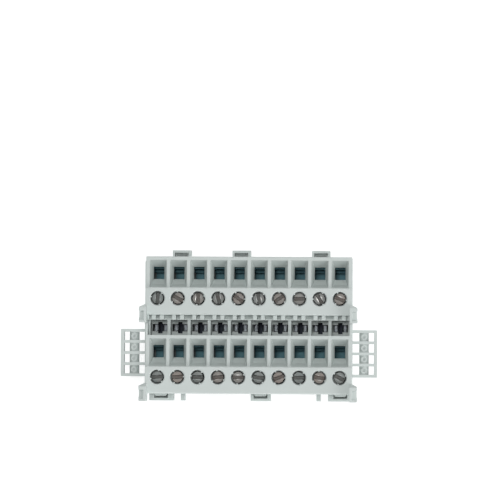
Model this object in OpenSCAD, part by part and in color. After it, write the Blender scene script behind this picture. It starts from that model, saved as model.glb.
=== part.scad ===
// Feed-through terminal block with two rows of screw clamps on a foot for a 35 mm top-hat rail.
// Sizes in mm. X runs along the poles, +Y points to the rear wall, Z is up.
// Origin: under the middle of the block, on the plane of the feet.

/* [Poles] */
// Number of poles side by side, an even number
poles = 10; // [10:2:14]
// Distance between neighbouring poles
pole_pitch = 5.2; // [5.1:0.05:5.8]
// Distance between the two rows of terminals
row_pitch = 20.2; // [19.8:0.1:22]
// Wall between neighbouring poles
partition_t = 0.8; // [0.6:0.05:1]

/* [Housing] */
// Height of the housing from its lower rim to the screw decks
housing_h = 21.3; // [20.5:0.1:25]
// Thickness of the front and rear walls
wall_t = 0.9; // [0.8:0.05:1.3]
// Thickness of the end walls
end_wall_t = 0.9; // [0.8:0.05:1.5]
// Screw deck from the screw axis toward the wire entry
deck_front = 2.8; // [2.5:0.05:3.2]
// Screw deck from the screw axis away from the wire entry
deck_back = 4.25; // [4:0.05:4.8]
// Length of each wire funnel at its rim
pocket_len = 7.1; // [6.8:0.05:7.6]
// Drop from the screw deck to the rim of the funnels
terrace_drop = 2.2; // [1:0.1:2.8]
// Depth of the funnels below their rim
funnel_depth = 3.5; // [2.6:0.1:3.9]
// Distance from the screw axis to the wire entry
entry_offset = 6.6; // [6.4:0.05:6.8]
// Width of the wire entry
entry_w = 2.72; // [2.2:0.05:2.8]
// Length of the wire entry
entry_l = 3.2; // [2.9:0.05:3.4]
// Depth of the bridge channel below the screw deck
channel_depth = 6.5; // [5:0.1:8]
// Depth of the contact pits below the screw deck
pit_depth = 11.9; // [10.5:0.1:12.5]
// Width of the teeth along the pits
tooth_w = 1.03; // [0.8:0.01:1.1]
// Length of the teeth along the pits
tooth_len = 1.25; // [1:0.05:1.4]

/* [Screws] */
// Diameter of the screw heads
head_d = 3.1; // [2.7:0.05:3.2]
// Height of the screw heads
head_h = 2; // [1.6:0.1:2.3]
// Depth of the screw heads below the deck
head_recess = 1; // [0.8:0.1:1.3]
// Diameter of the screw shanks
shank_d = 2.1; // [1.7:0.05:2.2]
// Width of the screwdriver slot
slot_w = 0.8; // [0.5:0.05:1]

/* [Clamps] */
// Thickness of the clamp yokes
yoke_t = 0.8; // [0.6:0.05:0.9]
// Length of the hanging leg of a clamp yoke
yoke_leg = 7.3; // [6:0.1:8]
// Thickness of the current bars
bar_t = 0.8; // [0.6:0.05:0.9]

/* [Rail foot] */
// Width of the top-hat rail that the foot takes
rail_w = 35; // [34.8:0.05:35.2]
// Height of the base from the feet to the housing
foot_h = 18.6; // [18.4:0.1:21]
// Setback of the base from the front and rear walls
base_inset = 0.425; // [0.25:0.025:2]

/* [Snap arms] */
// Width of the snap arms
arm_w = 3.06; // [2.4:0.02:3.3]
// Thickness of the snap arms
arm_t = 0.65; // [0.5:0.05:0.7]
// Reach of the snap loops beyond the walls
loop_out = 2; // [1.9:0.05:2.6]
// Height of the snap loops
loop_h = 4.9; // [3.5:0.1:5.2]

/* [Posts and ladders] */
// Height of the corner posts above the screw deck
post_rise = 3.6; // [2:0.1:6]
// Reach of the corner posts beyond the end walls
post_out = 1.5; // [1.3:0.05:2.2]
// Reach of the marker ladders beyond the end walls
ladder_out = 6.5; // [6.2:0.1:8]
// Height of the marker ladders
ladder_t = 3; // [2:0.1:3.4]

/* [Hidden] */
$fn = 48;
eps = 0.01;
over = 1;
bore_gap = 0.26;
nub_r = 0.2;
bore_room = 1.2;
fit_gap = 0.15;
seat_gap = 0.05;
body_gap = 0.1;
edge = 0.25;

// Lengths of the housing
chamber_w = pole_pitch - partition_t;
housing_len = (poles - 1) * pole_pitch + chamber_w + 2 * end_wall_t;
housing_x = housing_len / 2;
pocket_u = deck_front + pocket_len;
housing_depth = row_pitch + deck_back + pocket_u + wall_t;
wall_y = housing_depth / 2;
row_a = wall_y - wall_t - pocket_u;
row_b = row_a - row_pitch;

// Levels of the housing
rim_z = foot_h;
deck_z = rim_z + housing_h;
terrace_z = deck_z - terrace_drop;
funnel_z = terrace_z - funnel_depth;
head_z = deck_z - head_recess - head_h;
deck_block = 3.9;
roof_z = head_z - deck_block;
channel_z = deck_z - channel_depth;
pit_z = deck_z - pit_depth;
pit_floor_t = 0.8;
ledge_drop = 5;
ledge_lip = 0.35;
ledge_pocket = 0.5;
tooth_drop = 2.1;
ledge_z = deck_z - ledge_drop;
tooth_z = deck_z - tooth_drop;

// Bridge channel between the rows, with one contact pit per pole in its floor
channel_end_t = 0.5;
pit_wall_t = 0.85;
pit_back = row_a - deck_back - tooth_len;
pit_front = row_b + pocket_u + pit_wall_t;
pit_y = (pit_back + pit_front) / 2;
inner_wall_t = 0.8;

// Clamp yoke and current bar
base_z = rim_z - body_gap;
bar_z = base_z + seat_gap;
side_gap = 0.25;
yoke_w = chamber_w - 2 * side_gap;
yoke_rail = 0.5;
window_w = yoke_w - 2 * yoke_rail;
bar_w = window_w - 2 * fit_gap;
tab_u = entry_offset - entry_l / 2 - seat_gap;
heel_u = tab_u - bar_t - fit_gap - yoke_t / 2;
heel_z = roof_z - 2.4;
leg_u = entry_offset + entry_l / 2 - 0.45;
yoke_end = 1.95;
lip_len = 1.85;
lip_gap = 0.25;
leg_lip = 0.8;
fork_y = 1.6;
fork_t = 0.5;
fork_w = 1.2;
fork_h = 1.8;
fork_nose = 0.25;
fork_gap = 1;
fork_drop = 3;
fork_x = fork_gap / 2 + fork_w;

// Snap arms at the first, middle and last poles in front and one pole further in at the rear
front_arms = [1, poles / 2 + 1, poles];
rear_arms = [2, poles / 2, poles - 1];
arm_rise = 2.9;
arm_top = rim_z + loop_h + arm_rise;
arm_y = wall_y + body_gap;
arm_play = 0.6;
arm_side = 0.25;
rear_arm_drop = 1.9;
loop_slot_d = body_gap + arm_t + arm_play;
catch_in = 0.4;
rear_arm_top = rim_z + loop_h - rear_arm_drop;
catch_tip = 0.6;
catch_slope = 0.7;
catch_nose = 0.4;
catch_back = 0.1;
catch_h = catch_slope + catch_nose + catch_back;
end_loop_w = 6.4;
mid_loop_w = 5.2;
rear_loop_w = 4.75;

// Rail foot
rail_x = 0.45;
rail_gap = 0.3;
notch_l = rail_x - (rail_w + rail_gap) / 2;
notch_r = rail_x + (rail_w + rail_gap) / 2;
base_depth = housing_depth - 2 * base_inset;
plate_lip = 0.3;
base_x = housing_x - plate_lip;
plate_t = 1.36;
bay_h = 4.8;
bay_left_h = 2.14;
floor_t = 1.04;
left_floor_t = 0.8;
step_drop = 2.1;
bay_top = base_z - plate_t;
bay_low = bay_top - bay_h;
bay_left = bay_top - bay_left_h;
flange_z = bay_low - floor_t;
flange_left = bay_left - left_floor_t;
step_z = flange_z - step_drop;
web_t = 1.4;
rib_t = 0.8;
arm_bay = 2.36;
root = 0.2;

// Scale of the foot's outlines, which are drawn for a 35 mm rail 11.3 mm below the frame
foot_u = rail_w / 35;
foot_v = flange_z / 11.3;
leg_x = -base_x + 1.3 * foot_u;
step_x = notch_l + 0.6 * foot_u;
step_end = notch_l + 7.6 * foot_u;

// Marker ladders, centred on the wire entries of the front row
ladder_cells = 4;
ladder_len = 12.2;
ladder_shift = 6.2;
ladder_drop = 3.6;
ladder_y = row_b + ladder_shift;
ladder_top = deck_z - ladder_drop;
ladder_bar = 0.85;
post_back = 1.55;
post_len = 4.65;
post_waist = 0.18;
front_flange = 0.58;
rear_flange = 1.65;
saddle_d = 0.8;
column_w = 2.42;
column_x = 3.1;
column_drop = 0.45;
stud_r = 0.74;
stud_hole_r = 0.42;
stud_drop = 0.12;
stud_hole_d = 0.45;
rung_t = 0.75;
cell_pitch = (ladder_len - rung_t) / ladder_cells;

// Turn of each screw slot about its axis as it stands, from the first pole to the last
slots_a = [88, -30, 88, -75, -37, 97, 36, 0, -60, -25];
slots_b = [5, 5, -2, 8, 0, -8, 20, 0, -10, -27];

function pole_x(i) = (i - (poles + 1) / 2) * pole_pitch;
function row_y(r) = r == 0 ? row_a : row_b;
function tag(r, i) = str(r == 0 ? "a" : "b", i < 10 ? "0" : "", i);
function two(i) = str(i < 10 ? "0" : "", i);
function slot_turn(r, i) = r == 0 ? slots_a[(i - 1) % len(slots_a)] : slots_b[(i - 1) % len(slots_b)];
function arc(c, r, a0, a1, n) =
    [for (k = [0 : n]) c + r * [cos(a0 + (a1 - a0) * k / n), sin(a0 + (a1 - a0) * k / n)]];
function foot(x, points) = [for (p = points) [x + p[0] * foot_u, p[1] * foot_v]];

// Outline in Y and Z, drawn out along X about the middle
module yz(len) {
    rotate([90, 0, 90]) linear_extrude(height = len, center = true) children();
}

// Outline in X and Z, drawn out along Y about the middle
module xz(len) {
    rotate([90, 0, 0]) linear_extrude(height = len, center = true) children();
}

// Box from one corner to the other
module box(a, b) {
    translate(a) cube(b - a);
}

// Stepped block of the housing: two raised decks, two lower terraces
module housing_block() {
    yz(housing_len) polygon([
        [-wall_y, rim_z],
        [wall_y, rim_z],
        [wall_y, terrace_z - edge],
        [wall_y - edge, terrace_z],
        [row_a + deck_front, terrace_z],
        [row_a + deck_front, deck_z - edge],
        [row_a + deck_front - edge, deck_z],
        [row_a - deck_back + edge, deck_z],
        [row_a - deck_back, deck_z - edge],
        [row_a - deck_back, terrace_z],
        [row_b + deck_front, terrace_z],
        [row_b + deck_front, deck_z - edge],
        [row_b + deck_front - edge, deck_z],
        [-wall_y + edge, deck_z],
        [-wall_y, deck_z - edge]
    ]);
}

// Hollow of one pole: two clamp chambers, the contact chamber and the low run of the current bar
module pole_hollow() {
    half = chamber_w / 2;
    inner = wall_y - wall_t;
    a_end = row_a - deck_back + inner_wall_t;
    b_end = row_b + pocket_u;
    box([-half, a_end, rim_z - over], [half, inner, roof_z]);
    box([-half, -inner, rim_z - over], [half, b_end, roof_z]);
    box([-half, pit_front, rim_z - over], [half, a_end - inner_wall_t, pit_z - pit_floor_t]);
    box([-half, -inner, rim_z - over], [half, inner, bar_z + bar_t + fit_gap]);
}

// Wire funnel with the entry hole under it, at a screw axis
module funnel() {
    u0 = entry_offset - entry_l / 2;
    u1 = entry_offset + entry_l / 2;
    half = chamber_w / 2;
    intersection() {
        yz(chamber_w) polygon([
            [deck_front, deck_z + over],
            [deck_front, terrace_z],
            [deck_front + 0.9, funnel_z + 0.45 * funnel_depth],
            [u0, funnel_z],
            [u1, funnel_z],
            [pocket_u, terrace_z],
            [pocket_u, deck_z + over]
        ]);
        translate([0, pocket_u / 2, 0]) xz(3 * pocket_u) polygon([
            [-half, deck_z + over],
            [-half, terrace_z],
            [-entry_w / 2, funnel_z],
            [entry_w / 2, funnel_z],
            [half, terrace_z],
            [half, deck_z + over]
        ]);
    }
    box([-entry_w / 2, u0, roof_z - over], [entry_w / 2, u1, funnel_z + eps]);
}

// Stepped bore of a terminal screw, with room under the head for the open clamp
module screw_bore() {
    bore_r = head_d / 2 + bore_gap;
    translate([0, 0, roof_z - over]) cylinder(r = shank_d / 2 + side_gap, h = deck_z - roof_z);
    translate([0, 0, head_z - bore_room]) cylinder(r = bore_r, h = deck_z - head_z + bore_room + over);
    translate([0, 0, deck_z - 0.2]) cylinder(r1 = bore_r, r2 = bore_r + 0.22, h = 0.2 + eps);
}

// Three nubs that keep a screw in its bore
module nubs() {
    reach = head_d / 2 + bore_gap - nub_r / 2;
    for (k = [0 : 2]) rotate(120 * k)
        translate([reach, 0, deck_z - head_recess + fit_gap]) cylinder(r = nub_r, h = 0.6, $fn = 24);
}

// Contact pit of one pole with the blade slot and the fork window in its floor
module pit() {
    half = chamber_w / 2;
    window = fork_x + 0.36;
    blade = fork_gap / 2 + 0.08;
    slot_l = pit_back - pit_front - 1;
    box([-half, pit_front, pit_z], [half, pit_back, deck_z + over]);
    reach = fork_y / 2 + fit_gap;
    box([-window, pit_y - reach, pit_z - over], [window, pit_y + reach, pit_z + over]);
    box([-blade, pit_y - slot_l / 2, pit_z - over], [blade, pit_y + slot_l / 2, pit_z + over]);
}

// Shallow pockets of the ledge between the teeth of a pole and beside them
module ledge_pockets(i) {
    front = pit_back + ledge_lip;
    back = row_a - deck_back;
    side = 1.5 * tooth_w;
    low = ledge_z - ledge_pocket;
    box([-tooth_w / 2, front, low], [tooth_w / 2, back, ledge_z + eps]);
    if (i < poles) box([side, front, low], [pole_pitch - side, back, ledge_z + eps]);
}

// Two teeth of one pole on the ledge behind the rear deck
module teeth() {
    for (s = [-1, 1])
        translate([s * tooth_w - tooth_w / 2, row_a - deck_back - tooth_len, ledge_z - eps])
            cube([tooth_w, tooth_len + eps, tooth_z - ledge_z]);
}

// Corner post at the right end of a row: waisted plan, sloped root and rear, saddle between two flanges
module post() {
    root = end_wall_t * 0.55;
    top = deck_z + post_rise;
    low = deck_z - 3.1;
    back = -post_back;
    front = back - post_len;
    saddle = [front + front_flange, back - rear_flange];
    difference() {
        intersection() {
            translate([housing_x, 0, low]) linear_extrude(height = top - low) polygon([
                [-root, back],
                [0, back],
                [post_out - 0.15, back - 0.68],
                [post_out, back - 0.92],
                [post_out, saddle[1] + 0.1],
                [post_out - post_waist, saddle[1] - 0.1],
                [post_out - post_waist, saddle[0] + 0.7],
                [post_out, saddle[0] + 0.4],
                [post_out, front + 0.25],
                [post_out - 0.25, front],
                [-root, front]
            ]);
            translate([0, (front + back) / 2, 0]) xz(10) polygon([
                [housing_x - root, low],
                [housing_x + post_out - 0.9, low],
                [housing_x + post_out, low + 0.75],
                [housing_x + post_out - 0.12, top],
                [housing_x - root, top]
            ]);
            translate([housing_x, 0, 0]) yz(10) polygon([
                [back + over, low],
                [back + over, deck_z + 0.4 * post_rise],
                [back, deck_z + 0.4 * post_rise],
                [back - 0.9, top],
                [front - over, top],
                [front - over, low]
            ]);
        }
        translate([housing_x + fit_gap + 5, 0, 0]) yz(10) polygon([
            [saddle[0] - edge / 2, top + over],
            [saddle[0] - edge / 2, top],
            [saddle[0], top - edge / 2],
            [saddle[0], top - saddle_d],
            [saddle[1] - saddle_d / 2, top - saddle_d],
            [saddle[1], top - edge / 2],
            [saddle[1] + edge / 2, top],
            [saddle[1] + edge / 2, top + over]
        ]);
    }
}

// Marker ladder at the right end: frame, rungs, round-backed column and ring studs
module ladder() {
    col = [column_x - column_w / 2, column_x + column_w / 2];
    end = ladder_len / 2 - eps;
    low = ladder_top - ladder_t;
    round_z = ladder_top - column_drop - column_w / 2;
    translate([housing_x, ladder_y, 0]) {
        box([ladder_out - ladder_bar, -ladder_len / 2, low], [ladder_out, ladder_len / 2, ladder_top]);
        for (k = [0 : ladder_cells])
            translate([-eps, k * cell_pitch - ladder_len / 2, low]) cube([ladder_out, rung_t, ladder_t]);
        difference() {
            union() {
                box([col[0], -end, low], [col[1], end, round_z]);
                translate([column_x, 0, round_z]) rotate([90, 0, 0])
                    cylinder(d = column_w, h = 2 * end, center = true);
                for (k = [0 : ladder_cells - 1]) stud(k, low)
                    cylinder(r = stud_r, h = ladder_t - stud_drop, $fn = 32);
            }
            for (k = [0 : ladder_cells - 1])
                stud(k, ladder_top - stud_drop - stud_hole_d) cylinder(r = stud_hole_r, h = over, $fn = 32);
        }
    }
}

// Place of one ring stud in a marker ladder
module stud(k, z) {
    translate([column_x, (k + 0.5) * cell_pitch + rung_t / 2 - ladder_len / 2, z]) children();
}

// Snap loop on the front wall, from one side to the other about an arm
module loop(x, left, right) {
    slot = arm_w / 2 + arm_side;
    difference() {
        box([left, -wall_y - loop_out, rim_z], [right, -wall_y + eps, rim_z + loop_h]);
        box(
            [x - slot, -wall_y - loop_slot_d, rim_z - over],
            [x + slot, -wall_y + over, rim_z + loop_h + over]
        );
    }
}

// Notch in the front wall for the catch of an arm whose tip is at a level
module catch_notch(x, tip) {
    side = arm_w / 2 + fit_gap;
    high = tip - catch_tip;
    box(
        [x - side, -wall_y - over, high - catch_h - body_gap],
        [x + side, -wall_y + catch_in + body_gap, high + body_gap]
    );
}

module loops() {
    for (p = front_arms) {
        x = pole_x(p);
        w = p == 1 || p == poles ? end_loop_w : mid_loop_w;
        loop(x, max(x - w / 2, -housing_x), min(x + w / 2, housing_x));
    }
    for (p = rear_arms) {
        x = pole_x(p);
        mirror([0, 1, 0]) loop(x, x - rear_loop_w / 2, x + rear_loop_w / 2);
    }
}

module guide_ribs() {
    rib_w = 1.07;
    for (s = [-1, 1])
        translate([s * (housing_x - 8.8) - rib_w / 2, -wall_y - loop_out, rim_z])
            cube([rib_w, loop_out + eps, loop_h]);
}

module housing() {
    color("#C9D0CE")
    union() {
        difference() {
            housing_block();
            for (i = [1 : poles]) translate([pole_x(i), 0, 0]) {
                pole_hollow();
                pit();
                ledge_pockets(i);
                for (r = [0, 1]) translate([0, row_y(r), 0]) {
                    funnel();
                    screw_bore();
                }
            }
            box(
                [-housing_x + end_wall_t, pit_back, ledge_z],
                [housing_x - end_wall_t, row_a - deck_back, deck_z + over]
            );
            box(
                [-housing_x + channel_end_t, pit_front, channel_z],
                [housing_x - channel_end_t, pit_back, deck_z + over]
            );
            for (p = front_arms) catch_notch(pole_x(p), arm_top);
            for (p = rear_arms) mirror([0, 1, 0]) catch_notch(pole_x(p), rear_arm_top);
        }
        for (i = [1 : poles]) translate([pole_x(i), 0, 0]) {
            teeth();
            for (r = [0, 1]) translate([0, row_y(r), 0]) rotate((47 * i + 29 * r) % 120) nubs();
        }
        for (m = [0, 1]) mirror([m, 0, 0]) {
            for (r = [0, 1]) translate([0, row_y(r), 0]) post();
            ladder();
        }
        loops();
        guide_ribs();
    }
}

// Bay between two ribs of the base, open on one side: s is -1 for the front, 1 for the rear
module bay(s, x0, x1, low) {
    y0 = s * web_t / 2;
    y1 = s * (base_depth / 2 + over);
    if (x1 > x0 + rib_t) box([x0, min(y0, y1), low], [x1, max(y0, y1), bay_top]);
}

// Bays of one side: one narrow bay under each arm, and wide ones that a rib splits at a share of their length
module bays(s, arms, split) {
    x1 = pole_x(arms[0]);
    x2 = pole_x(arms[1]);
    x3 = pole_x(arms[2]);
    n = arm_bay / 2;
    r = rib_t / 2;
    low_x = step_x + 0.9 * foot_u;
    left = low_x + split[0] * (x2 - low_x);
    right = x2 + split[1] * (x3 - x2);
    bay(s, x1 - n, x1 + n, bay_left);
    bay(s, x1 + n + rib_t, step_x - eps, bay_left);
    bay(s, -base_x + 1.4, x1 - n - rib_t, bay_left);
    bay(s, low_x, left - r, bay_low);
    bay(s, left + r, x2 - n - rib_t, bay_low);
    bay(s, x2 - n, x2 + n, bay_low);
    bay(s, x2 + n + rib_t, right - r, bay_low);
    bay(s, right + r, x3 - n - rib_t, bay_low);
    bay(s, x3 - n, x3 + n, bay_low);
    bay(s, x3 + n + rib_t, base_x - 1.6, bay_low);
}

// Recess of an outline in both sides of the foot, down to the middle web
module recess() {
    for (s = [-1, 1]) translate([0, s * (base_depth / 4 + over + web_t / 4), 0])
        xz(base_depth / 2 + 2 * over - web_t / 2) children();
}

// Ribbed frame under its top plate, with the deeper box at its left
module frame_outline() {
    corner = 0.7 * foot_u;
    bend = 1.2 * foot_u;
    polygon(concat(
        [
            [-housing_x, base_z],
            [-housing_x, bay_top],
            [-base_x, bay_top],
            [-base_x, flange_left],
            [step_x, flange_left]
        ],
        arc([step_x + corner, step_z + corner], corner, 180, 270, 6),
        [[step_end, step_z]],
        arc([step_end + bend, flange_z - bend], bend, 180, 90, 6),
        [
            [base_x, flange_z],
            [base_x, bay_top],
            [housing_x, bay_top],
            [housing_x, base_z]
        ]
    ));
}

// Recess in the deeper box of the frame, rounded at its lower right
module step_recess_outline() {
    r = 0.8 * foot_u;
    floor_z = step_z + 1.05 * foot_v;
    polygon(concat(
        [
            [step_x + 1.2 * foot_u, bay_low + eps],
            [step_x + 1.2 * foot_u, floor_z]
        ],
        arc([step_end - 2 * r, floor_z + r], r, 270, 360, 5),
        [[step_end, bay_low + eps]]
    ));
}

// Rounded end of the slot between two legs, under the level where they meet
module slot_end(x, r, top) {
    z = top - r;
    difference() {
        translate([x - r - root, z]) square([2 * r + 2 * root, r + root]);
        translate([x, z]) circle(r = r);
    }
}

// Flexing latch leg: outer and inner strips, shoe with hook, rail tooth and toe
module latch_outline() {
    hook = leg_x - 3.95 * foot_u;
    shoe_r = 1.3 * foot_u;
    shoe_z = 2.72 * foot_v;
    inner_x = notch_l - 0.8 * foot_u;
    slot_r = (step_x - inner_x) / 2;
    difference() {
        polygon(concat(
            [[leg_x, flange_left + root]],
            foot(leg_x, [[0.25, 6.54], [-1.05, 6.54], [-2.1, 8.1], [-3.95, 8.1]]),
            arc([hook + shoe_r, shoe_z + shoe_r], shoe_r, 180, 270, 6),
            foot(notch_l, [
                [-4, 2.72],
                [-3.2, 2.32],
                [-1.9, 0.34],
                [-1.6, 0],
                [-0.8, 0],
                [-0.5, 0.47],
                [1.75, 4.75],
                [0, 5.05],
                [0, 6.2],
                [1.8, 6.2],
                [1.8, 7.46],
                [-0.44, 9.57],
                [-0.8, 10.5]
            ]),
            [[inner_x, flange_left + root]]
        ));
        polygon(concat(
            foot(leg_x, [[1.4, 5.2]]),
            [
                [leg_x + 1.15 * foot_u, flange_left - 0.3],
                [inner_x - 0.95 * foot_u, flange_left - 0.3]
            ],
            foot(inner_x, [[-0.8, 5.2]])
        ));
    }
    slot_end(step_x - slot_r, slot_r, flange_left);
}

// Stepped screwdriver pocket behind the hook of the latch leg
module pocket_outline() {
    polygon(foot(leg_x, [
        [-2.1, 4.7],
        [0.2, 4.7],
        [0.2, 7.5],
        [-1.05, 7.5],
        [-1.05, 5.9],
        [-2.1, 5.9]
    ]));
}

// Closed spring loop under the middle of the frame
module spring_outline() {
    c = foot(rail_x, [[-1.35, 5.55]])[0];
    neck = foot(rail_x, [[-3.55, 9.95]])[0];
    outer_r = 3.25 * foot_u;
    inner_r = 2.17 * foot_u;
    neck_r = 1.05 * foot_u;
    difference() {
        polygon(concat(
            [[rail_x - 6.75 * foot_u, flange_z + root]],
            foot(rail_x, [
                [-6.15, 10.7],
                [-6.05, 9],
                [-6.4, 7.86],
                [-6.62, 6.8],
                [-6.35, 5.75],
                [-5.55, 2.06],
                [-5.05, 1.4],
                [0.9, 1.4],
                [1.3, 2.06]
            ]),
            arc(c, outer_r, 2, 86, 10),
            arc(neck, neck_r, 270, 135, 8),
            [[rail_x - 4.05 * foot_u, flange_z + root]]
        ));
        union() {
            translate(c) circle(r = inner_r);
            polygon([
                [rail_x - 5.3 * foot_u, c[1] + inner_r],
                [c[0], c[1] + inner_r],
                [c[0], c[1] - inner_r],
                [rail_x - 4.85 * foot_u, c[1] - inner_r]
            ]);
        }
    }
}

// Slanted leg with its sole and the small hook that points to the spring loop
module slant_outline() {
    polygon(concat(
        [[rail_x + 11.45 * foot_u, flange_z + root]],
        foot(rail_x, [
            [10.75, 9.7],
            [10.12, 7.86],
            [9.2, 4.69],
            [8.85, 3.2],
            [2.5, 5.22],
            [2.35, 4.69],
            [3, 1.53],
            [3.65, 1],
            [4.3, 1.66],
            [8.41, 0],
            [12.1, 0],
            [12.37, 1.27],
            [12.37, 1.79],
            [11.45, 1.79],
            [11.45, 3.11],
            [12.37, 3.11],
            [12.37, 9.18],
            [13.65, 10.3]
        ]),
        [[rail_x + 13.65 * foot_u, flange_z + root]]
    ));
}

// Fixed foot with the second rail notch and the sloped outer side, and the slot beside the slanted leg
module fixed_outline() {
    slot_r = foot_u;
    polygon(concat(
        [[notch_r - 2 * foot_u, flange_z + root]],
        foot(notch_r, [
            [-2, 10.3],
            [-2.4, 9.7],
            [-4.7, 8.25],
            [-4.7, 7.95],
            [-4.35, 6.95],
            [-1, 6.3],
            [0, 6.2],
            [0, 5.05],
            [-1.85, 4.75],
            [-1.3, 3.38],
            [0.3, 0.47],
            [0.7, 0],
            [1.4, 0]
        ]),
        [
            [base_x, 6.45 * foot_v],
            [base_x, flange_z + root]
        ]
    ));
    slot_end(notch_r - 3 * foot_u, slot_r, flange_z);
}

// Recess in the fixed foot
module fixed_recess_outline() {
    polygon(concat(
        foot(notch_r, [[1, 1.5], [1, 7], [-1.1, 7.4]]),
        [
            [notch_r - 1.1 * foot_u, flange_z + 0.1],
            [base_x - 1.05, flange_z + 0.1],
            [base_x - 1.05, 6.9 * foot_v]
        ],
        foot(notch_r, [[1.8, 1.5]])
    ));
}

// Snap arm on the front side up to a level, with its root under the loop and its catch at the tip
module arm(x, tip) {
    high = tip - catch_tip;
    low = high - catch_h;
    bevel = 0.45 * arm_t;
    root_w = arm_w + 2 * arm_side;
    root_y = -wall_y - loop_slot_d;
    translate([x, 0, 0]) {
        translate([0, -arm_y, bay_top]) linear_extrude(height = tip - bay_top) polygon([
            [-arm_w / 2, 0],
            [-arm_w / 2, -arm_t + bevel],
            [-arm_w / 2 + bevel, -arm_t],
            [arm_w / 2 - bevel, -arm_t],
            [arm_w / 2, -arm_t + bevel],
            [arm_w / 2, 0]
        ]);
        box([-root_w / 2, root_y, bay_top], [root_w / 2, -base_depth / 2 + web_t, base_z]);
        yz(arm_w) polygon([
            [-arm_y - eps, high],
            [-wall_y + catch_in, high - catch_slope],
            [-wall_y + catch_in, low + catch_back],
            [-arm_y - eps, low]
        ]);
    }
}

module rail_base() {
    color("#C9D0CE")
    union() {
        difference() {
            xz(base_depth) union() {
                frame_outline();
                latch_outline();
                spring_outline();
                slant_outline();
                fixed_outline();
            }
            bays(-1, front_arms, [0.528, 0.422]);
            bays(1, rear_arms, [0.496, 0.519]);
            recess() step_recess_outline();
            recess() fixed_recess_outline();
            recess() pocket_outline();
        }
        for (p = front_arms) arm(pole_x(p), arm_top);
        for (p = rear_arms) mirror([0, 1, 0]) arm(pole_x(p), rear_arm_top);
    }
}

// Upright tab of a current bar, with the lip that holds down the heel of a yoke
module tab() {
    lip_z = heel_z + yoke_t / 2 + lip_gap;
    box([-bar_w / 2, tab_u - bar_t, bar_z], [bar_w / 2, tab_u, lip_z + bar_t]);
    box([-bar_w / 2, tab_u - lip_len, lip_z], [bar_w / 2, tab_u, lip_z + bar_t]);
}

// Contact fork of a current bar, two tines with broad heads rounded at their upper edges
module fork() {
    top = pit_z - fork_drop;
    near = fork_gap / 2;
    for (s = [0, 1]) mirror([s, 0, 0]) translate([0, pit_y, 0]) xz(fork_y) polygon(concat(
        [
            [fork_x, bar_z],
            [fork_x, top - fork_nose]
        ],
        arc([fork_x - fork_nose, top - fork_nose], fork_nose, 0, 90, 6),
        arc([near + 2 * fork_nose, top - 2 * fork_nose], 2 * fork_nose, 90, 180, 8),
        [
            [near, top - fork_h],
            [fork_x - fork_t, top - fork_h - fork_w + fork_t],
            [fork_x - fork_t, bar_z]
        ]
    ));
}

module bar(i) {
    trunk = 2 * fork_x;
    trunk_end = row_a + entry_offset + entry_l / 2 + 0.3;
    color("#B4B2A8")
    translate([pole_x(i), 0, 0]) {
        box([-trunk / 2, row_b + tab_u - bar_t, bar_z], [trunk / 2, trunk_end, bar_z + bar_t]);
        for (r = [0, 1]) translate([0, row_y(r), 0]) tab();
        fork();
    }
}

module screw(r, i) {
    bottom = heel_z - 2.6;
    tip = 0.4;
    head = head_z + seat_gap;
    top = deck_z - head_recess;
    color("#8F8B89")
    translate([pole_x(i), row_y(r), 0]) rotate(slot_turn(r, i)) difference() {
        union() {
            translate([0, 0, bottom]) cylinder(d1 = shank_d - 2 * tip, d2 = shank_d, h = tip);
            translate([0, 0, bottom + tip]) cylinder(d = shank_d, h = head - bottom - tip + eps);
            translate([0, 0, head]) cylinder(d = head_d, h = top - head - 0.2);
            translate([0, 0, top - 0.2]) cylinder(d1 = head_d, d2 = head_d - 0.4, h = 0.2);
        }
        box([-head_d, -slot_w / 2, top - 0.45 * head_h], [head_d, slot_w / 2, top + over]);
    }
}

// Clamp yoke: plate on the screw, round heel at the tab, two side rails and the hanging leg
module yoke(r, i) {
    half = yoke_w / 2;
    low = heel_z - yoke_t / 2;
    high = heel_z + yoke_t / 2;
    out = leg_u + yoke_t;
    foot = heel_z - yoke_leg;
    color("#A3A7A8")
    translate([pole_x(i), row_y(r), 0]) {
        difference() {
            union() {
                box([-half, -yoke_end, low], [half, heel_u, high]);
                translate([0, heel_u, heel_z]) rotate([0, 90, 0])
                    cylinder(d = yoke_t, h = window_w, center = true);
                for (s = [-1, 1])
                    translate([s * (half - yoke_rail / 2) - yoke_rail / 2, heel_u - eps, low])
                        cube([yoke_rail, out - heel_u + eps, yoke_t]);
            }
            translate([0, 0, low - over]) cylinder(r = shank_d / 2 + side_gap, h = yoke_t + 2 * over);
        }
        box([-half, leg_u, foot], [half, out, high]);
        box([-half, leg_u - leg_lip, foot], [half, out, foot + yoke_t]);
    }
}

housing();
rail_base();
for (i = [1 : poles]) bar(i);
for (r = [0, 1], i = [1 : poles]) screw(r, i);
for (r = [0, 1], i = [1 : poles]) yoke(r, i);
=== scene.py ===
"""Looks of a ten-pole feed-through terminal block: mouldings, clamp metal, turned screws and a studio."""

import math

import bpy
import numpy as np
from bpy.props import FloatProperty, FloatVectorProperty, PointerProperty
from mathutils import Matrix, Vector


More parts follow.
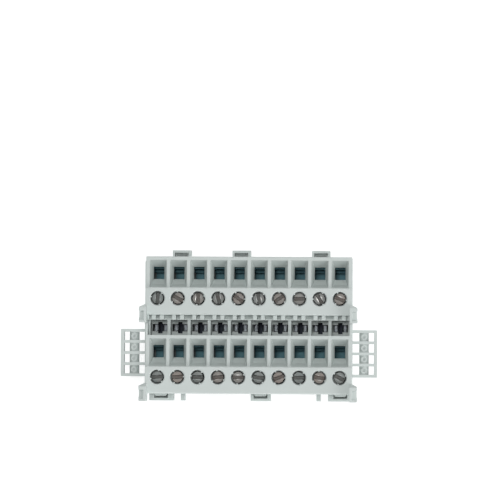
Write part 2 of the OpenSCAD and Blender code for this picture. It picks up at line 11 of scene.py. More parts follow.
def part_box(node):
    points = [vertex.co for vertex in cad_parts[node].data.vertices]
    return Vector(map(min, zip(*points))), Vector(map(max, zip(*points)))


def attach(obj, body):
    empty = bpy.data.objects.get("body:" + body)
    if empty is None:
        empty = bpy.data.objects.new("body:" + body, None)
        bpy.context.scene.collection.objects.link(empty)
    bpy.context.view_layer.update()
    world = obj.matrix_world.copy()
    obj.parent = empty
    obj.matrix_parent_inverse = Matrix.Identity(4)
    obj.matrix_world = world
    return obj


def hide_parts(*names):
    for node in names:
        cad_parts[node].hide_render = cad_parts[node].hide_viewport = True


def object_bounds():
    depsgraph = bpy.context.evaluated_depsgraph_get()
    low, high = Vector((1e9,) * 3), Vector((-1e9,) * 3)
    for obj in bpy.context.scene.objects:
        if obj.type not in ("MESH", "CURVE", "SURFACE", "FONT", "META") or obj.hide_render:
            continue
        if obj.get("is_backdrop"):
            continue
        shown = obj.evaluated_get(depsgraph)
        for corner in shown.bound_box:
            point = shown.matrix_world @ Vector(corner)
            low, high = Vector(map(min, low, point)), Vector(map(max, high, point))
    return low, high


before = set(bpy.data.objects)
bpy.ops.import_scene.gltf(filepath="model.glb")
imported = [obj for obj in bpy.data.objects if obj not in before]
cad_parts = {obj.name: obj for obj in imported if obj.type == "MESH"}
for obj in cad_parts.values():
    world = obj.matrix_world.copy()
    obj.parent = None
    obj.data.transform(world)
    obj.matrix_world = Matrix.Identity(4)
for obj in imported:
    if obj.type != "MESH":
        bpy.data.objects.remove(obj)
CAD_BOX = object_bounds()

bl_info = {
    "name": "Terminal Block Looks",
    "version": (1, 0, 0),
    "blender": (4, 5, 0),
    "location": "View3D > Sidebar > Terminal",
    "description": "Finishes, clamp screws and studio of a feed-through terminal block",
    "category": "Object",
}

MM = 0.001
DECK = 39.9 * MM  # level of the screw decks
PIT_Y = -0.65 * MM  # middle of the row of contact pits
FORK_FOOT = 20.2 * MM  # level above which the bars are tinned
HEAD_HEIGHT = 1.95 * MM  # of a clamp screw, from its underside to its top
SHANK_RADIUS = 1.05 * MM  # of a clamp screw, over the crests of its thread
PAINTED_SHADE = (0.030, 0.034, 0.036)  # painted shade on plastic that lies deep inside the block
FLANK_SHADE = (0.018, 0.019, 0.019)  # painted shade on the flank of a screw head, for the dark gap round it in its bore
BURNISH = (0.48, 0.475, 0.46)  # metal that a screwdriver has rubbed
SCREWS = sorted(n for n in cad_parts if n.startswith("screw_"))
YOKES = sorted(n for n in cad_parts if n.startswith("yoke_"))
BARS = sorted(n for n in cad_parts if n.startswith("bar_"))

# Boxes of the part in millimetres, each with the share of painted shade on the plastic inside it:
# rear pole chambers, pits, front pole chambers, then the rear snap arms inside their loops
CHAMBER_SHADE = (
    ((-25.9, 3.0, 18.0), (25.9, 17.2, 33.0), 0.75),
    ((-25.9, -4.3, 18.0), (25.9, 3.0, 33.0), 0.07),
    ((-25.9, -17.2, 18.0), (25.9, -4.3, 33.0), 0.75),
)
REAR_ARM_SHADE = (((-33.0, 17.5, 19.0), (33.0, 21.0, 30.0), 0.6),)


class BlockColours(bpy.types.PropertyGroup):
    """Colours of the plastic and of the metals."""

    plastic: FloatVectorProperty(
        name="Plastic",
        description="Pale grey-green of the housing and the rail base",
        subtype="COLOR",
        size=3,
        min=0,
        max=1,
        default=(0.568, 0.621, 0.606),
    )
    # Painted highlight: this lighter tone is laid along every edge of the mouldings
    plastic_edge_highlight: FloatVectorProperty(
        name="Plastic edge",
        description="Lighter tone along the rubbed edges of the mouldings",
        subtype="COLOR",
        size=3,
        min=0,
        max=1,
        default=(0.86, 0.90, 0.89),
    )
    nickel: FloatVectorProperty(
        name="Nickel",
        description="Cool grey of a fresh screw head",
        subtype="COLOR",
        size=3,
        min=0,
        max=1,
        default=(0.15, 0.165, 0.162),
    )
    bronze: FloatVectorProperty(
        name="Tarnish",
        description="Warm brown of a screw head whose plating has tarnished",
        subtype="COLOR",
        size=3,
        min=0,
        max=1,
        default=(0.20, 0.165, 0.146),
    )
    zinc: FloatVectorProperty(
        name="Blue zinc",
        description="Blue-passivated zinc of the clamp yokes",
        subtype="COLOR",
        size=3,
        min=0,
        max=1,
        default=(0.066, 0.136, 0.155),
    )
    tin: FloatVectorProperty(
        name="Tin",
        description="Tin plating of the current bars",
        subtype="COLOR",
        size=3,
        min=0,
        max=1,
        default=(0.27, 0.295, 0.315),
    )


class ScrewSizes(bpy.types.PropertyGroup):
    """Sizes of the turned details on a clamp screw."""

    slot_half: FloatProperty(
        name="Half slot width",
        description="Half the width of the screwdriver slot",
        unit="LENGTH",
        default=0.40 * MM,
    )
    slot_depth: FloatProperty(
        name="Slot depth",
        description="Depth of the screwdriver slot below the top of the head",
        unit="LENGTH",
        default=0.90 * MM,
    )
    lip: FloatProperty(
        name="Slot lip",
        description="Rounding along both lips of the slot",
        unit="LENGTH",
        default=0.10 * MM,
    )
    crown: FloatProperty(
        name="Crown",
        description="Fall of the head from its middle to its rim",
        unit="LENGTH",
        default=0.06 * MM,
    )
    lean: FloatProperty(
        name="Lean",
        description="Largest lean of a crown, which differs from screw to screw",
        subtype="ANGLE",
        default=math.radians(2.2),
    )
    rim: FloatProperty(
        name="Rim rounding",
        description="Rounding at the rim of the head",
        unit="LENGTH",
        default=0.16 * MM,
    )
    pitch: FloatProperty(
        name="Thread pitch",
        description="Rise of the thread in one turn",
        unit="LENGTH",
        default=0.45 * MM,
    )
    depth: FloatProperty(
        name="Thread depth",
        description="Depth of the thread from crest to root",
        unit="LENGTH",
        default=0.22 * MM,
    )


class StudioSettings(bpy.types.PropertyGroup):
    """Camera and light of the studio."""

    height: FloatProperty(
        name="Camera height",
        description="Height of the camera above the screw decks",
        unit="LENGTH",
        default=0.870,
    )
    aside: FloatProperty(
        name="Camera to the right",
        description="Distance of the camera to the right of the block's middle",
        unit="LENGTH",
        default=0.037,
    )
    ahead: FloatProperty(
        name="Camera to the rear",
        description="Distance of the camera behind the block's middle",
        unit="LENGTH",
        default=-0.0076,
    )
    field: FloatProperty(
        name="Field",
        description="Width of the picture at the level of the screw decks",
        unit="LENGTH",
        default=0.1282,
    )
    aim_x: FloatProperty(
        name="Aim X",
        description="Place of the picture's middle along the poles",
        unit="LENGTH",
        default=0.00031,
    )
    aim_y: FloatProperty(
        name="Aim Y",
        description="Place of the picture's middle across the rows",
        unit="LENGTH",
        default=0.01928,
    )
    roll: FloatProperty(
        name="Roll",
        description="Turn of the camera about its line of sight",
        subtype="ANGLE",
        default=math.radians(0.35),
    )
    sky: FloatProperty(
        name="Room light",
        description="Strength of the even light from the pale room",
        default=0.45,
    )
    zenith: FloatProperty(
        name="Ceiling light",
        description="Share of the room light that comes from the dark ceiling round the camera",
        subtype="FACTOR",
        min=0,
        max=1,
        default=0.60,
    )
    horizon: FloatProperty(
        name="Wall light",
        description="Strength of the light from the white walls at the level of the block",
        default=1.0,
    )
    key: FloatProperty(
        name="Key light",
        description="Power of the large soft lamp at the right front",
        unit="POWER",
        default=3.48,
    )
    flash: FloatProperty(
        name="Overhead light",
        description="Power of the small lamp beside the camera that reaches down into the pits",
        unit="POWER",
        default=2.65,
    )
    front: FloatProperty(
        name="Front light",
        description="Power of the low lamp in front of the block",
        unit="POWER",
        default=2.4,
    )
    glow: FloatProperty(
        name="Floor glow",
        description="Light that the lit floor gives off by itself",
        default=1.0,
    )
    floor: FloatVectorProperty(
        name="Floor",
        description="Colour of the floor",
        subtype="COLOR",
        size=3,
        min=0,
        max=1,
        default=(0.72, 0.72, 0.72),
    )


class Term:
    """A socket in a sum: each operator adds one Math node and gives its result."""

    def __init__(self, finish, socket):
        self.finish = finish
        self.socket = socket

    def math(self, operation, *terms):
        return self.finish.node("ShaderNodeMath", {"operation": operation}, dict(enumerate(terms)))

    def __add__(self, other):
        return self.math("ADD", self, other)

    def __sub__(self, other):
        return self.math("SUBTRACT", self, other)

    def __rsub__(self, other):
        return self.math("SUBTRACT", other, self)

    def __mul__(self, other):
        return self.math("MULTIPLY", self, other)

    def __truediv__(self, other):
        return self.math("DIVIDE", self, other)

    def clip(self):
        """The value held between 0 and 1."""
        return self.math("MINIMUM", self.math("MAXIMUM", self, 0.0), 1.0)

    def size(self):
        """The value without its sign."""
        return self.math("ABSOLUTE", self)

    def wave(self):
        """Sine of the value."""
        return self.math("SINE", self)

    __radd__ = __add__
    __rmul__ = __mul__


class Finish:
    """A material that is put together node by node."""

    def __init__(self, name):
        self.material = bpy.data.materials.new(name)
        self.material.use_nodes = True
        self.tree = self.material.node_tree
        self.shader = self.tree.nodes["Principled BSDF"]
        self.place = self.node("ShaderNodeTexCoord", output="Object")

    def node(self, kind, settings=None, inputs=None, output=0):
        """Adds a node: its settings first, then the values or links of its sockets; gives one output."""
        made = self.tree.nodes.new(kind)
        for name, value in (settings or {}).items():
            setattr(made, name, value)
        for name, value in (inputs or {}).items():
            self.feed(made.inputs[name], value)
        return Term(self, made.outputs[output])

    def feed(self, socket, value):
        """Links a term to a socket, or sets the socket's own value."""
        if isinstance(value, Term):
            self.tree.links.new(value.socket, socket)
        elif socket.type == "RGBA":
            socket.default_value = (*value, 1.0)
        else:
            socket.default_value = value

    def noise(self, scale, detail=2.0, roughness=0.5, stretch=None, place=None):
        """Noise from 0 to 1 with that many features in a metre; stretch scales its axes."""
        place = place or self.place
        if stretch:
            place = self.node("ShaderNodeMapping", None, {"Vector": place, "Scale": stretch})
        return self.node(
            "ShaderNodeTexNoise",
            None,
            {"Vector": place, "Scale": scale, "Detail": detail, "Roughness": roughness},
        )

    def cells(self, scale):
        """Distance from the middle of each cell of a Voronoi pattern."""
        return self.node("ShaderNodeTexVoronoi", None, {"Vector": self.place, "Scale": scale})

    def along(self, axis):
        """Coordinate of the place along one axis of the part."""
        return self.node("ShaderNodeSeparateXYZ", None, {"Vector": self.place}, output=axis)

    def within(self, low, high, soft=0.4):
        """1 inside a box of the part and 0 outside it, with a soft border; sizes in millimetres."""
        share = 1.0
        for axis, start, end in zip("XYZ", low, high):
            off = (self.along(axis) - (start + end) / 2 * MM).size()
            share = (((end - start) / 2 * MM - off) / (soft * MM)).clip() * share
        return share

    def attribute(self, name):
        """A number that the piece's mesh carries at each vertex."""
        return self.node("ShaderNodeAttribute", {"attribute_name": name}, output="Fac")

    def mix(self, factor, a, b):
        """Colour between a and b."""
        return self.node("ShaderNodeMix", {"data_type": "RGBA"}, {0: factor, 6: a, 7: b}, output=2)

    def rounding(self, radius, samples=6):
        """Normal as if each edge had that radius."""
        return self.node("ShaderNodeBevel", {"samples": samples}, {"Radius": radius})

    def edge(self, rounded, gain):
        """1 along the edges and 0 on flat faces, from the turn of the rounded normal."""
        true = self.node("ShaderNodeNewGeometry", output="True Normal")
        same = self.node(
            "ShaderNodeVectorMath", {"operation": "DOT_PRODUCT"}, {0: rounded, 1: true}, output="Value"
        )
        return ((1.0 - same) * gain).clip()

    def bump(self, height, strength, distance, normal=None):
        """Normal with small relief of that height on it."""
        inputs = {"Strength": strength, "Distance": distance, "Height": height}
        if normal:
            inputs["Normal"] = normal
        return self.node("ShaderNodeBump", None, inputs)

    def close(self, **inputs):
        """Feeds the shader and gives the material."""
        for name, value in inputs.items():
            self.feed(self.shader.inputs[name.replace("_", " ")], value)
        return self.material


def moulded_plastic(name, colours, shades):
    """Fine spark-eroded plastic: slow tone drift, mottle, grain in relief, a painted highlight along the
    edges, specks.

    Shades are boxes of the part, each with the share of painted shade on the plastic inside it.
    """
    finish = Finish(name)
    drift = finish.noise(70.0, 3.0)
    mottle = finish.noise(620.0, 4.0, 0.6)
    grain = finish.noise(5200.0, 3.0, 0.55)
    flow = finish.noise(420.0, 2.0, 0.5, (0.12, 1.0, 1.0))
    specks = 1.0 - (finish.cells(520.0) * 16.0).clip()
    rounded = finish.rounding(0.14 * MM)
    edge = finish.edge(rounded, 6.0)
    base = Vector(colours.plastic)
    tone = (drift * 0.5 + mottle * 0.3 + flow * 0.2 - 0.28) * 2.2
    colour = finish.mix(tone.clip(), base * 0.945, base * 1.035)
    # Painted highlight along the edges, where the rounded normal turns away from the true one
    colour = finish.mix(edge * 0.75, colour, colours.plastic_edge_highlight)
    colour = finish.mix(specks * 0.22, colour, base * 0.62)
    # Painted shade: inside each box the plastic is darkened towards a dark grey by the box's share
    for low, high, share in shades:
        colour = finish.mix(finish.within(low, high) * share, colour, PAINTED_SHADE)
    relief = grain * 0.7 + mottle * 0.3
    return finish.close(
        Base_Color=colour,
        Roughness=0.46 + mottle * 0.10 + grain * 0.06,
        Normal=finish.bump(relief, 0.22, 0.03 * MM, rounded),
    )


def turned_nickel(name, colours):
    """Dull nickel on turned steel: tarnish by its tone, lines along the slot, rubbed lips, painted shade
    on the flank.
    """
    finish = Finish(name)
    ring = finish.attribute("ring")
    slot = finish.attribute("slot")
    tone = finish.attribute("tone")
    lip = finish.attribute("lip")
    flank = finish.attribute("flank")
    local = finish.node(
        "ShaderNodeCombineXYZ",
        None,
        {0: finish.attribute("along") * 0.25, 1: finish.attribute("across"), 2: tone * 40.0},
    )
    stain = finish.noise(900.0, 4.0, 0.6)
    brushed = finish.noise(5.0, 3.0, 0.6, place=local)
    patch = finish.noise(1.6, 2.0, 0.5, place=local)
    lathe = (ring * 60.0 + stain * 3.0).wave() * 0.5 + 0.5
    rubbed = (lip * (patch * 6.0 - 2.8)).clip()
    warm = (tone * 0.9 + slot * 0.2 + stain * 0.9 - 0.45).clip()
    colour = finish.mix(warm, colours.nickel, colours.bronze)
    # The slot's floor and lower walls are coloured darker and warmer than the head
    dull = finish.mix(warm, Vector(colours.nickel) * 0.7, Vector(colours.bronze) * 0.72)
    colour = finish.mix(slot, colour, dull)
    colour = finish.mix((brushed * 2.4 - 0.9).clip() * 0.5, colour, Vector(colours.nickel) * 1.7)
    colour = finish.mix(rubbed, colour, BURNISH)
    # Painted shade: the rim, side and underside of the head are darkened almost to black
    colour = finish.mix(flank * (0.8 + stain * 0.3), colour, FLANK_SHADE)
    return finish.close(
        Base_Color=colour,
        Metallic=1.0,
        Roughness=0.50 + slot * 0.06 + brushed * 0.08 - rubbed * 0.24,
        Normal=finish.bump(lathe * 0.4 + brushed * 0.6, 0.3, 0.012 * MM),
    )


def blue_zinc(name, colours):
    """Stamped steel with blue-passivated zinc: bluish base, darker stains, bare edges, roll lines."""
    finish = Finish(name)
    stain = finish.noise(500.0, 4.0, 0.6)
    roll = finish.noise(3000.0, 2.0, 0.5, (1.0, 0.06, 1.0))
    rounded = finish.rounding(0.07 * MM, 4)
    base = Vector(colours.zinc) * 0.62
    bare = (0.50, 0.53, 0.54)
    colour = finish.mix((stain * 1.8 - 0.5).clip(), base, base * 0.72)
    colour = finish.mix(finish.edge(rounded, 2.5) * 0.4, colour, bare)
    return finish.close(
        Base_Color=colour,
        Metallic=1.0,
        Roughness=0.48 + stain * 0.14,
        Normal=finish.bump(roll * 0.6 + stain * 0.4, 0.2, 0.015 * MM, rounded),
    )


def plated_tin(name, colours):
    """Bar with spangled tin on the contact fork, smooth blue zinc on the long run, painted shade under the
    pits.
    """
    finish = Finish(name)
    cloud = finish.noise(360.0, 4.0, 0.55)
    spangle = finish.cells(1500.0)
    rounded = finish.rounding(0.07 * MM, 4)
    base = Vector(colours.tin)
    zinc = Vector(colours.zinc)
    # Painted shade: the run of the bar under the pits is near black, so the gaps in the pits look dark
    dark, bare = (0.020, 0.023, 0.029), (0.74, 0.74, 0.73)
    plated = ((finish.along("Z") - FORK_FOOT) / (0.6 * MM) + cloud - 0.5).clip()
    bright = finish.mix((cloud * 1.6 - 0.4).clip(), base, base * 0.78)
    away = ((finish.along("Y") - PIT_Y).size() - 2.5 * MM) / (1.5 * MM)
    smooth = finish.mix((cloud * 1.6 - 0.4).clip(), zinc * 0.78, zinc * 0.63)
    dull = finish.mix(away.clip(), dark, smooth)
    colour = finish.mix(plated, dull, bright)
    colour = finish.mix(finish.edge(rounded, 2.5) * 0.25, colour, bare)
    return finish.close(
        Base_Color=colour,
        Metallic=1.0,
        Roughness=0.50 + cloud * 0.08 + plated * (spangle * 0.10 - 0.02),
        Normal=finish.bump((spangle * 0.5 + cloud * 0.5) * plated, 0.12, 0.02 * MM, rounded),
    )


def paint(nodes, material):
    """Gives CAD nodes that material."""
    for name in nodes:
        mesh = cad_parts[name].data
        mesh.materials.clear()
        mesh.materials.append(material)


def stack(*columns):
    """Points from arrays of x, y and z that broadcast to one shape."""
    return np.stack(np.broadcast_arrays(*columns), -1)


def ring_faces(upper, lower):
    """Quads between two closed loops of vertex numbers, arrays of one length."""
    return np.stack([upper, lower, np.roll(lower, -1, -1), np.roll(upper, -1, -1)], -1).reshape(-1, 4)


def slot_profile(slot_half, depth, lip, reach):
    """Half section across the slot, from its floor to the rim: v outwards and drop below the top.

    Floor, fillet, wall, rounded lip, then flat to reach in steps that shrink like a cosine to the rim.
    """
    fillet = 0.6 * lip
    turn = np.linspace(0, math.pi / 2, 4)
    floor_v = np.array([0.0, 0.5]) * (slot_half - fillet)
    fillet_v = slot_half - fillet + fillet * np.sin(turn)
    fillet_d = depth - fillet + fillet * np.cos(turn)
    lip_v = slot_half + lip - lip * np.cos(turn)
    lip_d = lip - lip * np.sin(turn)
    flat_v = slot_half + lip + (reach - slot_half - lip) * np.sin(np.linspace(0, math.pi / 2, 10)[1:])
    v = np.concatenate([floor_v, fillet_v, lip_v, flat_v])
    drop = np.concatenate([floor_v * 0 + depth, fillet_d, lip_d, flat_v * 0])
    return v, drop


def screw_surface(centre, radius, head, shank, slot_turn, lean, sizes):
    """Vertices, faces and vertex numbers of one clamp screw, as one closed surface.

    Head: rows at a distance v across the slot, columns along it at u = t * sqrt(R^2 - v^2), and height
    top - crown * r^2 / R^2 - lean . (u, v) - drop(v). The grid's border is carried down as rings:
    rounded rim, side, underside. Shank: rings of radius root + depth * triangle(z / pitch - angle),
    closed by a cone and a point.
    """
    low, top = head
    tip, core = shank
    bevel, neck_room = 0.12 * MM, 0.10 * MM
    inner = radius - sizes.rim

    # Crowned head with its slot, as one grid
    half_v, half_d = slot_profile(sizes.slot_half, sizes.slot_depth, sizes.lip, inner * 0.985)
    v = np.concatenate([-half_v[:0:-1], half_v])
    drop = np.concatenate([half_d[:0:-1], half_d])
    t = np.sin(np.linspace(-math.pi / 2, math.pi / 2, 16))
    u = np.sqrt(inner**2 - v[:, None] ** 2) * t[None, :]
    r2 = (u**2 + v[:, None] ** 2) / inner**2
    sink = np.hypot(*lean) * inner
    z = top - sink - sizes.crown * r2 - lean[0] * u - lean[1] * v[:, None] - drop[:, None]
    rows, cols = u.shape
    number = np.arange(rows * cols).reshape(rows, cols)
    points = [stack(u, v[:, None], z).reshape(-1, 3)]
    quads = [
        np.stack([number[:-1, :-1], number[:-1, 1:], number[1:, 1:], number[1:, :-1]], -1).reshape(-1, 4)
    ]

    # Rings from the grid's border over the rim and the side to the underside
    border = np.concatenate([number[0, :-1], number[:-1, -1], number[-1, :0:-1], number[:0:-1, 0]])
    edge = points[0][border]
    angle = np.arctan2(edge[:, 1], edge[:, 0])
    arc = np.linspace(0, math.pi / 2, 5)[1:]
    ring_r = np.concatenate([inner + sizes.rim * np.sin(arc), [radius, radius - bevel, core + neck_room]])
    fall = np.concatenate([sizes.rim * (1 - np.cos(arc)), [0, 0, 0]])
    level = np.array([0, 0, 0, 0, low + bevel, low, low])
    ring_z = np.where(level[:, None] > 0, level[:, None], edge[None, :, 2] - fall[:, None])
    count = len(border)
    loops = rows * cols + np.arange(len(ring_r) * count).reshape(len(ring_r), count)
    points.append(
        stack(ring_r[:, None] * np.cos(angle), ring_r[:, None] * np.sin(angle), ring_z).reshape(-1, 3)
    )
    quads.append(ring_faces(np.concatenate([border[None], loops[:-1]]), loops))

    # Threaded shank under every third point of the border; the ridge is cut off at crest and root
    around = angle[::3]
    rings_per_turn, blunt = 6, 0.72
    rings = int(round((low - tip) / sizes.pitch * rings_per_turn))
    down = np.linspace(low - 0.02 * MM, tip, rings)[:, None]
    phase = np.mod((low - down) / sizes.pitch - around / (2 * math.pi), 1.0)
    fade = np.clip((low - down) / sizes.pitch, 0, 1) * np.clip((down - tip) / (2 * sizes.pitch), 0, 1)
    ridge = np.clip(1.35 * (1 - np.abs(2 * phase - 1)) - 0.1, 0, 1)
    cone = np.clip((down - tip) / (0.9 * sizes.pitch), 0, 1)
    thread_r = (core - sizes.depth + sizes.depth * ridge * fade) * (blunt + (1 - blunt) * cone)
    start = rows * cols + loops.size
    turns = start + np.arange(rings * len(around)).reshape(rings, len(around))
    points.append(stack(thread_r * np.cos(around), thread_r * np.sin(around), down).reshape(-1, 3))
    quads.append(ring_faces(turns[:-1], turns[1:]))

    # Faces from the underside to the thread, and round the tip
    last = start + turns.size
    points.append(np.array([[0.0, 0.0, tip]]))
    under, neck = loops[-1], turns[0]
    after = np.roll(neck, -1)
    a, b, c, d = under[0::3], under[1::3], under[2::3], np.roll(under[0::3], -1)
    quads.append(np.stack([b, neck, after, c], -1))
    end = turns[-1]
    tris = [
        np.stack([a, neck, b], -1),
        np.stack([c, after, d], -1),
        np.stack([end, np.full(len(end), last), np.roll(end, -1)], -1),
    ]
    faces = np.concatenate(quads).tolist() + np.concatenate(tris).tolist()

    # Numbers for the finish, with the patches that a screwdriver rubs beside the slot
    points = np.concatenate(points)
    slot, flank = np.zeros((2, len(points)))
    slot[number] = (drop > 0.6 * sizes.slot_depth)[:, None]
    # The rim, side and underside carry the painted shade of the gap round the head
    flank[loops] = 1.0
    patch_width, patch_length, patch_depth = 0.17 * MM, 0.6 * MM, 0.4 * MM
    reach = (np.abs(points[:, 1]) - sizes.slot_half - sizes.lip) / patch_width
    near = np.exp(-(reach**2) - (points[:, 0] / patch_length) ** 2)
    numbers = {
        "ring": np.hypot(points[:, 0], points[:, 1]) / MM,
        "slot": slot,
        "flank": flank,
        "along": points[:, 0] / MM,
        "across": points[:, 1] / MM,
        "lip": near * (points[:, 2] > top - patch_depth),
    }

    # Turned to the slot's heading and moved to the screw's place
    cos, sin = math.cos(slot_turn), math.sin(slot_turn)
    x = centre[0] + points[:, 0] * cos - points[:, 1] * sin
    y = centre[1] + points[:, 0] * sin + points[:, 1] * cos
    return stack(x, y, points[:, 2]), faces, numbers


def slot_heading(node, centre, floor):
    """Heading of a CAD screw's slot: the long axis of the vertices at the slot's floor."""
    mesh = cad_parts[node].data
    co = np.zeros(len(mesh.vertices) * 3)
    mesh.vertices.foreach_get("co", co)
    co = co.reshape(-1, 3)
    flat = co[np.abs(co[:, 2] - floor) < 0.02 * MM, :2] - centre
    along = np.linalg.svd(flat, full_matrices=False)[2][0]
    return math.atan2(along[1], along[0])


def add_piece(name, points, faces, numbers, material):
    """Puts a surface into a smooth-shaded mesh object with its vertex numbers."""
    mesh = bpy.data.meshes.new(name)
    mesh.from_pydata(points.tolist(), [], faces)
    for key, values in numbers.items():
        mesh.attributes.new(key, "FLOAT", "POINT").data.foreach_set("value", values.astype(np.float32))
    mesh.materials.append(material)
    mesh.shade_smooth()
    mesh.set_sharp_from_angle(angle=math.radians(38))
    mesh.validate()
    piece = bpy.data.objects.new(name, mesh)
    bpy.context.scene.collection.objects.link(piece)
    return piece


class TERMINAL_OT_moulded_shells(bpy.types.Operator):
    """Finish the housing and the rail base as fine matte mouldings"""

    bl_idname = "terminal.moulded_shells"
    bl_label = "Moulded shells"

    def execute(self, context):
        colours = context.scene.terminal_colours
        # The chambers and pits of both parts, and also the base's rear snap arms, get painted shade
        paint(["housing"], moulded_plastic("housing plastic", colours, CHAMBER_SHADE))
        paint(["rail_base"], moulded_plastic("base plastic", colours, CHAMBER_SHADE + REAR_ARM_SHADE))
        return {"FINISHED"}


class TERMINAL_OT_clamp_metal(bpy.types.Operator):
    """Finish the current bars in tin and the clamp yokes in blue zinc"""

    bl_idname = "terminal.clamp_metal"
    bl_label = "Bars and yokes"

    def execute(self, context):
        colours = context.scene.terminal_colours
        paint(BARS, plated_tin("bar tin", colours))
        paint(YOKES, blue_zinc("yoke zinc", colours))
        return {"FINISHED"}


class TERMINAL_OT_clamp_screws(bpy.types.Operator):
    """Build the slotted clamp screws with crowned heads and cut threads"""

    bl_idname = "terminal.clamp_screws"
    bl_label = "Clamp screws"

    def execute(self, context):
        sizes = context.scene.terminal_screw
        nickel = turned_nickel("screw nickel", context.scene.terminal_colours)
        # Lean and tone swing at uneven rates along the rows, so that neighbours differ
        for number, node in enumerate(SCREWS):
            low, high = (np.array(corner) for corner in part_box(node))
            centre = (low[:2] + high[:2]) / 2
            radius = (high[0] - low[0]) / 2
            top = high[2]
            heading = slot_heading(node, centre, top - sizes.slot_depth)
            lean = sizes.lean * np.array([math.sin(2.1 * number + 0.6), math.cos(3.7 * number)])
            points, faces, numbers = screw_surface(
                centre, radius, (top - HEAD_HEIGHT, top), (low[2], SHANK_RADIUS), heading, lean, sizes
            )
            tone = 0.5 + 0.5 * math.sin(3.26 * number + 1.3 * math.sin(0.42 * number) + 5.25)
            numbers["tone"] = np.full(len(points), tone)
            piece = add_piece("turned_" + node, points, faces, numbers, nickel)
            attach(piece, node)
            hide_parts(node)
        return {"FINISHED"}


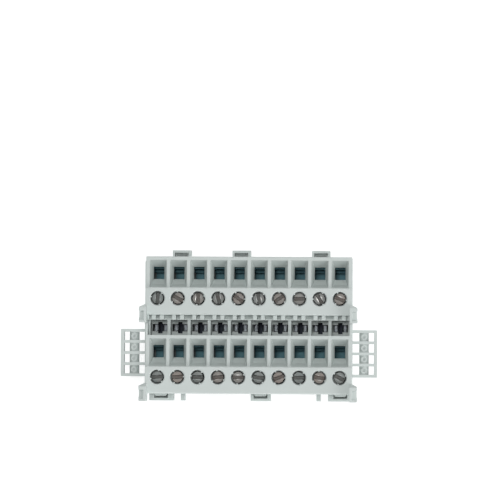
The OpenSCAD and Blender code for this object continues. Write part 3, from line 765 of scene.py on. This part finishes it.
class TERMINAL_OT_studio(bpy.types.Operator):
    """Set up the pale floor, the soft light and the camera above the decks"""

    bl_idname = "terminal.studio"
    bl_label = "Studio"

    def execute(self, context):
        scene = context.scene
        studio = scene.terminal_studio
        self.floor(scene, studio)
        self.light(scene, studio)
        self.camera(scene, studio)
        scene.view_settings.view_transform = "Standard"
        return {"FINISHED"}

    def floor(self, scene, studio):
        side = 4.0
        corners = [(-side, -side, 0), (side, -side, 0), (side, side, 0), (-side, side, 0)]
        mesh = bpy.data.meshes.new("floor")
        mesh.from_pydata(corners, [], [(0, 1, 2, 3)])
        finish = Finish("floor paper")
        paper = finish.noise(60.0, 3.0)
        base = Vector(studio.floor)
        # The floor glows more away from the block, in full from 0.45 m on, to stay white to the horizon
        x, y = finish.along("X"), finish.along("Y")
        far = ((x * x + y * y) * 5.0).clip()
        mesh.materials.append(
            finish.close(
                Base_Color=finish.mix(paper, base * 0.99, base),
                Roughness=0.8,
                Emission_Color=finish.mix(far, base * 0.75, base),
                Emission_Strength=studio.glow,
            )
        )
        floor = bpy.data.objects.new("floor", mesh)
        scene.collection.objects.link(floor)
        floor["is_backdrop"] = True

    def light(self, scene, studio):
        world = bpy.data.worlds.new("room")
        world.use_nodes = True
        tree = world.node_tree
        sky = tree.nodes["Background"]
        heading = tree.nodes.new("ShaderNodeTexCoord")
        split = tree.nodes.new("ShaderNodeSeparateXYZ")
        ramp = tree.nodes.new("ShaderNodeValToRGB")
        stops = ramp.color_ramp.elements
        stops.new(0.4)
        stops.new(0.6)
        heights = (0.12, 0.22, 0.80, 0.95)
        greys = (studio.horizon, studio.sky, studio.sky, studio.sky * studio.zenith)
        for stop, height, grey in zip(stops, heights, greys):
            stop.position = height
            stop.color = (grey, grey, grey, 1.0)
        tree.links.new(heading.outputs["Generated"], split.inputs["Vector"])
        tree.links.new(split.outputs["Z"], ramp.inputs["Fac"])
        tree.links.new(ramp.outputs["Color"], sky.inputs["Color"])
        scene.world = world
        middle = Vector((0, 0, 0.03))
        for name, place, side, power in (
            ("key", (0.70, -0.30, 0.62), 0.80, studio.key),
            ("fill", (-0.60, 0.20, 0.70), 0.70, studio.key * 0.03),
            ("overhead", (0.0, 0.06, 0.96), 0.14, studio.flash),
            ("front", (-0.10, -1.10, 0.11), 0.50, studio.front),
        ):
            lamp = bpy.data.lights.new(name, "AREA")
            lamp.shape = "DISK"
            lamp.size = side
            lamp.energy = power
            stand = bpy.data.objects.new(name, lamp)
            stand.location = place
            stand.rotation_euler = (middle - Vector(place)).to_track_quat("-Z", "Y").to_euler()
            scene.collection.objects.link(stand)

    def camera(self, scene, studio):
        place = Vector((studio.aside, studio.ahead, DECK + studio.height))
        aim = Vector((studio.aim_x, studio.aim_y, DECK))
        sight = aim - place
        up = Vector((0, 1, 0))
        back = -sight.normalized()
        right = up.cross(back).normalized()
        turn = Matrix((right, back.cross(right), back)).transposed()
        eye = bpy.data.cameras.new("camera")
        eye.sensor_width = 36.0
        eye.lens = eye.sensor_width * sight.length / studio.field
        eye.clip_start = 0.01
        eye.clip_end = 20.0
        stand = bpy.data.objects.new("camera", eye)
        roll = Matrix.Rotation(studio.roll, 4, "Z")
        stand.matrix_world = Matrix.Translation(place) @ turn.to_4x4() @ roll
        scene.collection.objects.link(stand)
        scene.camera = stand


class TERMINAL_PT_block(bpy.types.Panel):
    """Terminal block"""

    bl_label = "Terminal block"
    bl_idname = "TERMINAL_PT_block"
    bl_space_type = "VIEW_3D"
    bl_region_type = "UI"
    bl_category = "Terminal"

    def draw(self, context):
        scene = context.scene
        for group in (scene.terminal_colours, scene.terminal_screw, scene.terminal_studio):
            column = self.layout.column(align=True)
            for name in group.__annotations__:
                column.prop(group, name)
        for operator in OPERATORS:
            self.layout.operator(operator.bl_idname)


GROUPS = {
    "terminal_colours": BlockColours,
    "terminal_screw": ScrewSizes,
    "terminal_studio": StudioSettings,
}
OPERATORS = (
    TERMINAL_OT_moulded_shells,
    TERMINAL_OT_clamp_metal,
    TERMINAL_OT_clamp_screws,
    TERMINAL_OT_studio,
)
CLASSES = (*GROUPS.values(), *OPERATORS, TERMINAL_PT_block)


def register():
    for cls in CLASSES:
        bpy.utils.register_class(cls)
    for name, group in GROUPS.items():
        setattr(bpy.types.Scene, name, PointerProperty(type=group))


def unregister():
    for name in GROUPS:
        delattr(bpy.types.Scene, name)
    for cls in reversed(CLASSES):
        bpy.utils.unregister_class(cls)


def main():
    register()
    bpy.ops.terminal.moulded_shells()
    bpy.ops.terminal.clamp_metal()
    bpy.ops.terminal.clamp_screws()
    bpy.ops.terminal.studio()
    boxes = {"cad": CAD_BOX, "visual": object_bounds()}
    {key: [list(corner) for corner in box] for key, box in boxes.items()}


if __name__ == "__main__":
    main()
